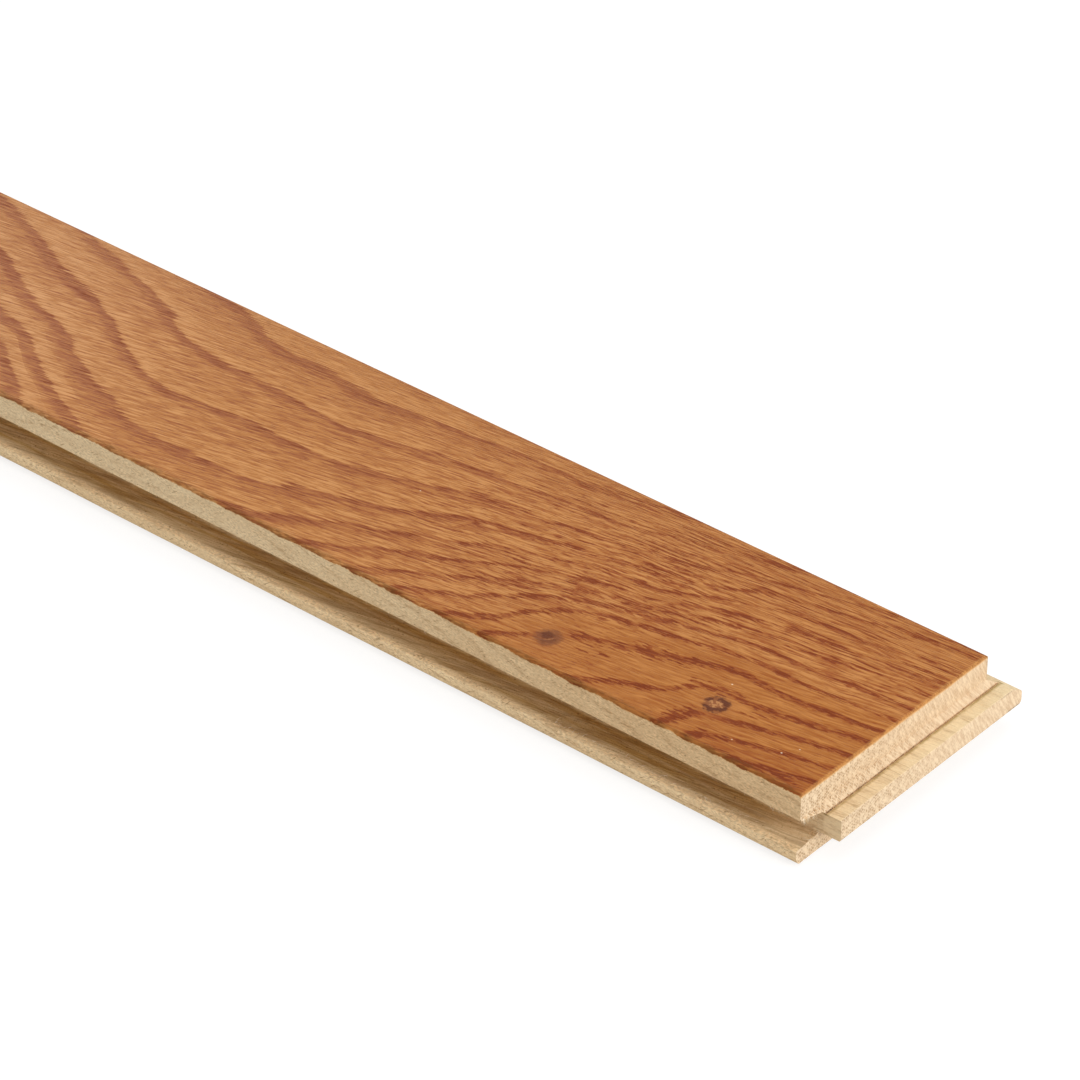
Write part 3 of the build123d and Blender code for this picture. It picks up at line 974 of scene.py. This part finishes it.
def add_tree(piece, tree, values):
    """Geometry nodes modifier with its inputs set by their sockets' identifiers."""
    modifier = piece.modifiers.new(tree.name, "NODES")
    modifier.node_group = tree
    for socket in tree.interface.items_tree:
        if socket.in_out == "INPUT" and socket.name in values:
            modifier[socket.identifier] = values[socket.name]


def settle(piece):
    """Turns what the modifiers make of a piece into its own plain mesh, with no empty slots."""
    bpy.context.view_layer.update()
    seen = piece.evaluated_get(bpy.context.evaluated_depsgraph_get())
    made = bpy.data.meshes.new_from_object(seen)
    piece.modifiers.clear()
    piece.data = made
    made.name = piece.name
    for index in reversed(range(len(made.materials))):
        if made.materials[index] is None:
            made.materials.pop(index=index)


def new_object(name, data):
    """Object in the scene, at the origin."""
    made = bpy.data.objects.new(name, data)
    bpy.context.scene.collection.objects.link(made)
    return made


class FLOORBOARD_OT_board(bpy.types.Operator):
    """Make the milled oak board with its stained face"""

    bl_idname = "floorboard.board"
    bl_label = "Milled Board"

    def execute(self, context):
        grain = context.scene.floorboard_grain
        finish = context.scene.floorboard_finish
        groups = shader_groups()
        data = cell_mesh(grain)
        mark_rings(data)
        board = new_object("milled_board", data)
        add_tree(board, board_relief_tree(), {
            "Ring Relief": grain.ring_relief,
            "Lip Wave": grain.lip_wave,
            "Lip Edge": grain.lip_edge,
            "End Tear": grain.end_tear,
            "Face": oak_material("lacquered_face", groups, finish, "raw", 0.05 * MM, True),
            "Edges": oak_material("planed_edges", groups, finish, "raw", 0.08 * MM, False),
            "Ends": oak_material("sawn_ends", groups, finish, "end", 0.1 * MM, False),
        })
        settle(board)
        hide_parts(NODE)
        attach(board, BODY)
        return {"FINISHED"}


class FLOORBOARD_OT_torn_fibres(bpy.types.Operator):
    """Make the slivers that stand along the torn edges of the groove"""

    bl_idname = "floorboard.torn_fibres"
    bl_label = "Torn Fibres"

    def execute(self, context):
        grain = context.scene.floorboard_grain
        fibres = new_object("torn_fibres", bpy.data.meshes.new("torn_fibres"))
        add_tree(fibres, torn_fibres_tree(), {
            "Length": grain.fibre_length,
            "Width": grain.fibre_width,
            "Seed": grain.fibre_seed,
            "Wood": fibre_material(context.scene.floorboard_finish),
        })
        settle(fibres)
        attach(fibres, BODY)
        return {"FINISHED"}


class FLOORBOARD_OT_stage(bpy.types.Operator):
    """Set up the floor, the light and the camera"""

    bl_idname = "floorboard.stage"
    bl_label = "Stage"

    def execute(self, context):
        stage = context.scene.floorboard_stage
        self.lay_floor()
        self.light_room(context, stage)
        self.hang_softboxes(stage)
        self.place_camera(context, stage)
        context.scene.view_settings.view_transform = "Standard"
        return {"FINISHED"}

    def lay_floor(self):
        """Wide white floor that shows the board's shadow."""
        half = 6.0
        mesh = bmesh.new()
        bmesh.ops.create_grid(mesh, x_segments=1, y_segments=1, size=half)
        data = bpy.data.meshes.new("studio_floor")
        mesh.to_mesh(data)
        mesh.free()
        material = bpy.data.materials.new("studio_floor")
        nodes = empty_shader(material)
        paper = nodes.add("ShaderNodeBsdfDiffuse", {"Color": (0.8, 0.8, 0.8, 1)}).outputs[0]
        shown_paper = nodes.add("ShaderNodeBsdfDiffuse", {"Color": (0.3, 0.3, 0.3, 1)}).outputs[0]
        glow = nodes.add("ShaderNodeEmission", {"Color": (1, 1, 1, 1), "Strength": 0.78}).outputs[0]
        shown = nodes.add("ShaderNodeAddShader", {0: shown_paper, 1: glow}).outputs[0]
        seen = nodes.add("ShaderNodeLightPath").outputs["Is Camera Ray"]
        both = nodes.add("ShaderNodeMixShader", {0: seen, 1: paper, 2: shown}).outputs[0]
        nodes.add("ShaderNodeOutputMaterial", {"Surface": both})
        data.materials.append(material)
        floor = new_object("studio_floor", data)
        gap_under_board = 0.2 * MM
        floor.location.z = -gap_under_board

    def light_room(self, context, stage):
        """White room: white where the camera or a reflection sees it, softer as a light."""
        world = bpy.data.worlds.new("white_room")
        nodes = empty_shader(world)
        path = nodes.add("ShaderNodeLightPath").outputs
        seen = nodes.highest(path["Is Camera Ray"], path["Is Transmission Ray"])
        mirrored = nodes.highest(seen, path["Is Glossy Ray"])
        strength = nodes.mix_values(mirrored, stage.fill, 1.0)
        room = nodes.add("ShaderNodeBackground", {"Color": (1, 1, 1, 1), "Strength": strength})
        nodes.add("ShaderNodeOutputWorld", {"Surface": room.outputs[0]})
        context.scene.world = world

    def hang_softboxes(self, stage):
        """A low softbox beyond the sawn end and one over the board."""
        back_from_end = 0.12
        aim = Vector((NEAR_END * MM - back_from_end, 0.0, 0.0))
        softboxes = (
            ("end_softbox", Vector((1.4, 0.1, 0.55)), 0.9, stage.key_power),
            ("top_softbox", Vector((-0.1, 0.2, 1.6)), 1.4, stage.top_power),
        )
        for name, away, width, power in softboxes:
            data = bpy.data.lights.new(name, "AREA")
            data.shape = "DISK"
            data.size = width
            data.energy = power
            lamp = new_object(name, data)
            lamp.location = aim + away
            lamp.rotation_euler = away.to_track_quat("Z", "Y").to_euler()

    def place_camera(self, context, stage):
        data = bpy.data.cameras.new("camera")
        data.sensor_width = 36.0
        data.lens = stage.lens
        camera = new_object("camera", data)
        camera.location = stage.camera_place
        camera.rotation_euler = stage.camera_turn
        context.scene.camera = camera


class FLOORBOARD_PT_panel(bpy.types.Panel):
    """Sizes, colours and steps of the floorboard"""

    bl_idname = "FLOORBOARD_PT_panel"
    bl_label = "Floorboard"
    bl_space_type = "VIEW_3D"
    bl_region_type = "UI"
    bl_category = "Floorboard"

    def draw(self, context):
        for group in PROPERTY_GROUPS:
            box = self.layout.box()
            settings = getattr(context.scene, group)
            for name in settings.__annotations__:
                box.prop(settings, name)
        for operator in OPERATORS:
            self.layout.operator(operator.bl_idname)


PROPERTY_GROUPS = {
    "floorboard_grain": FLOORBOARD_PG_grain,
    "floorboard_finish": FLOORBOARD_PG_finish,
    "floorboard_stage": FLOORBOARD_PG_stage,
}
OPERATORS = (FLOORBOARD_OT_board, FLOORBOARD_OT_torn_fibres, FLOORBOARD_OT_stage)
CLASSES = (*PROPERTY_GROUPS.values(), *OPERATORS, FLOORBOARD_PT_panel)


def register():
    for cls in CLASSES:
        bpy.utils.register_class(cls)
    for name, group in PROPERTY_GROUPS.items():
        setattr(bpy.types.Scene, name, bpy.props.PointerProperty(type=group))


def unregister():
    for name in PROPERTY_GROUPS:
        delattr(bpy.types.Scene, name)
    for cls in reversed(CLASSES):
        bpy.utils.unregister_class(cls)


def main():
    register()
    bpy.ops.floorboard.board()
    bpy.ops.floorboard.torn_fibres()
    bpy.ops.floorboard.stage()


if __name__ == "__main__":
    main()
